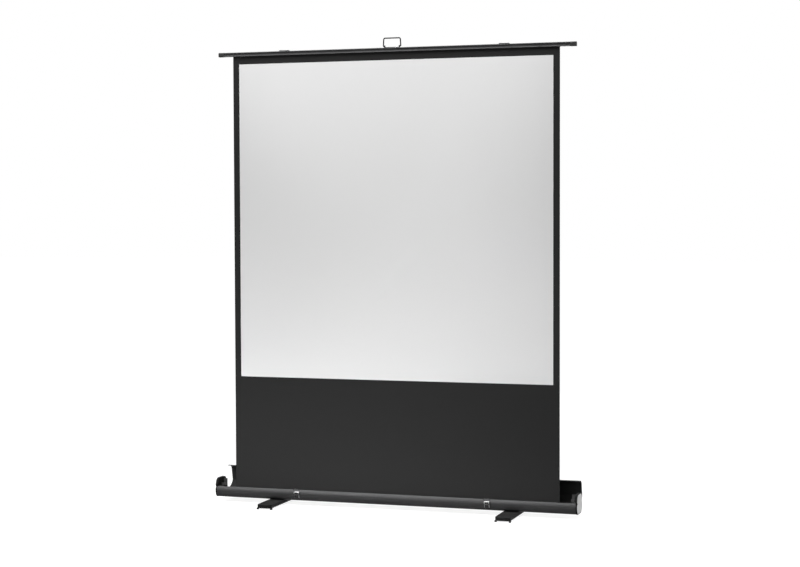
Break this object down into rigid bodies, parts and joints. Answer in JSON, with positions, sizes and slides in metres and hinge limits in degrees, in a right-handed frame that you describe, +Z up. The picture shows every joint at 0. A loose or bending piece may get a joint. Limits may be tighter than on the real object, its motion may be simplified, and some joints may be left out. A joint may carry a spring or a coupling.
{
  "type": "pull-up projection screen",
  "caption": "Portable floor-standing projection screen that pulls up out of a low aluminium case on swivel feet, with a rear knee-arm frame, spring roller and hinged lid.",
  "frame": {"origin": "on the floor under the middle of the case", "axes": "+Z up, +X along the case to the right as seen from the front, +Y to the back; the picture faces -Y"},
  "size_m": [1.853, 0.423, 2.298],
  "materials": {
    "case_aluminium": "dark satin anodised",
    "bar_aluminium": "dark satin anodised",
    "arm_aluminium": "satin",
    "black_plastic": "moulded, fine grain",
    "grey_plate": "satin",
    "grey_plastic": "moulded",
    "screen_fabric": "matt coated cloth",
    "black_steel": "semi-matt black",
    "steel": "zinc plated",
    "chrome": "bright plated",
    "rubber": "matt"
  },
  "bodies": {
    "case": {"case_base": "case_aluminium", "end_cap_left": "black_plastic", "end_cap_right": "black_plastic", "end_plate_left": "grey_plate", "end_plate_right": "grey_plate", "roller_bracket_left": "grey_plastic", "roller_bracket_right": "grey_plastic", "roller_shaft": "steel", "arm_bracket_left": "black_steel", "arm_bracket_right": "black_steel", "base_pin_left": "steel", "base_pin_right": "steel", "foot_bolt_left": "steel", "foot_bolt_right": "steel", "latch_plate_left": "chrome", "latch_plate_right": "chrome", "screen_sheet": "screen_fabric"},
    "roller": {"roller_tube": "arm_aluminium", "roller_plug_left": "black_plastic", "roller_plug_right": "black_plastic", "roller_spring": "steel", "sheet_wrap": "screen_fabric"},
    "lid": {"case_lid": "case_aluminium", "lid_catch_left": "chrome", "lid_catch_right": "chrome"},
    "swivel_foot_left": {"foot_left": "black_steel", "foot_pad_left_front_outer": "rubber", "foot_pad_left_front_inner": "rubber", "foot_pad_left_rear_outer": "rubber", "foot_pad_left_rear_inner": "rubber"},
    "swivel_foot_right": {"foot_right": "black_steel", "foot_pad_right_front_outer": "rubber", "foot_pad_right_front_inner": "rubber", "foot_pad_right_rear_outer": "rubber", "foot_pad_right_rear_inner": "rubber"},
    "left_lower": {"left_lower_arm": "arm_aluminium", "left_knee_pin": "steel", "left_knee_washer": "black_plastic"},
    "left_upper": {"left_upper_arm": "arm_aluminium"},
    "right_lower": {"right_lower_arm": "arm_aluminium", "right_knee_pin": "steel", "right_knee_washer": "black_plastic"},
    "right_upper": {"right_upper_arm": "arm_aluminium"},
    "bar": {"top_bar": "bar_aluminium", "bar_plug_left": "black_plastic", "bar_plug_right": "black_plastic", "bar_bracket_left": "black_steel", "bar_bracket_right": "black_steel", "bar_pin_left": "steel", "bar_pin_right": "steel", "pull_handle_base": "black_steel"},
    "handle": {"pull_handle": "black_steel"},
    "lever_left": {"latch_lever_left": "chrome"},
    "lever_right": {"latch_lever_right": "chrome"},
    "loop_left": {"latch_loop_left": "chrome"},
    "loop_right": {"latch_loop_right": "chrome"}
  },
  "joints": [
    {"name": "arm_fold", "type": "hinge", "parent": "case", "child": "left_lower", "pos_m": [-0.56, 0.0195, 0.0655], "axis": [0, 1, 0], "range_deg": [0, 63.5], "deforming": ["screen_sheet"]},
    {"name": "left_knee", "type": "hinge", "parent": "left_lower", "child": "left_upper", "pos_m": [-0.02653, 0.0195, 1.1404], "axis": [0, 1, 0], "range_deg": [-127, 0]},
    {"name": "bar_pivot", "type": "hinge", "parent": "left_upper", "child": "bar", "pos_m": [-0.56, 0.0195, 2.2153], "axis": [0, 1, 0], "range_deg": [0, 63.5]},
    {"name": "right_arm_fold", "type": "hinge", "parent": "case", "child": "right_lower", "pos_m": [0.56, 0.0195, 0.0655], "axis": [0, 1, 0], "range_deg": [-63.5, 0]},
    {"name": "right_knee", "type": "hinge", "parent": "right_lower", "child": "right_upper", "pos_m": [0.02653, 0.0195, 1.1404], "axis": [0, 1, 0], "range_deg": [0, 127]},
    {"name": "roller_spin", "type": "hinge", "parent": "case", "child": "roller", "pos_m": [0, -0.029, 0.052], "axis": [1, 0, 0], "range_deg": [-5715, 0]},
    {"name": "handle_fold", "type": "hinge", "parent": "bar", "child": "handle", "pos_m": [0, -0.004, 2.25555], "axis": [1, 0, 0], "range_deg": [-88, 88]},
    {"name": "lid_hinge", "type": "hinge", "parent": "case", "child": "lid", "pos_m": [0, 0.0615, 0.047], "axis": [1, 0, 0], "range_deg": [0, 11]},
    {"name": "foot_swivel_left", "type": "hinge", "parent": "case", "child": "swivel_foot_left", "pos_m": [-0.602, 0, 0.0245], "axis": [0, 0, 1], "range_deg": [0, 90]},
    {"name": "foot_swivel_right", "type": "hinge", "parent": "case", "child": "swivel_foot_right", "pos_m": [0.602, 0, 0.0245], "axis": [0, 0, 1], "range_deg": [-90, 0]},
    {"name": "latch_left", "type": "hinge", "parent": "case", "child": "lever_left", "pos_m": [-0.487, -0.0645, 0.066], "axis": [1, 0, 0], "range_deg": [-100, 0]},
    {"name": "latch_right", "type": "hinge", "parent": "case", "child": "lever_right", "pos_m": [0.487, -0.0645, 0.066], "axis": [1, 0, 0], "range_deg": [-100, 0]},
    {"name": "loop_swing_left", "type": "hinge", "parent": "lever_left", "child": "loop_left", "pos_m": [-0.487, -0.067, 0.0575], "axis": [1, 0, 0], "range_deg": [0, 100]},
    {"name": "loop_swing_right", "type": "hinge", "parent": "lever_right", "child": "loop_right", "pos_m": [0.487, -0.067, 0.0575], "axis": [1, 0, 0], "range_deg": [0, 100]}
  ],
  "couplings": [
    {"joint": "left_knee", "follows": "arm_fold", "ratio": -2},
    {"joint": "bar_pivot", "follows": "arm_fold", "ratio": 1},
    {"joint": "right_arm_fold", "follows": "arm_fold", "ratio": -1},
    {"joint": "right_knee", "follows": "arm_fold", "ratio": 2},
    {"joint": "roller_spin", "follows": "arm_fold", "ratio": -90},
    {"joint": "loop_swing_left", "follows": "latch_left", "ratio": -1},
    {"joint": "loop_swing_right", "follows": "latch_right", "ratio": -1}
  ]
}
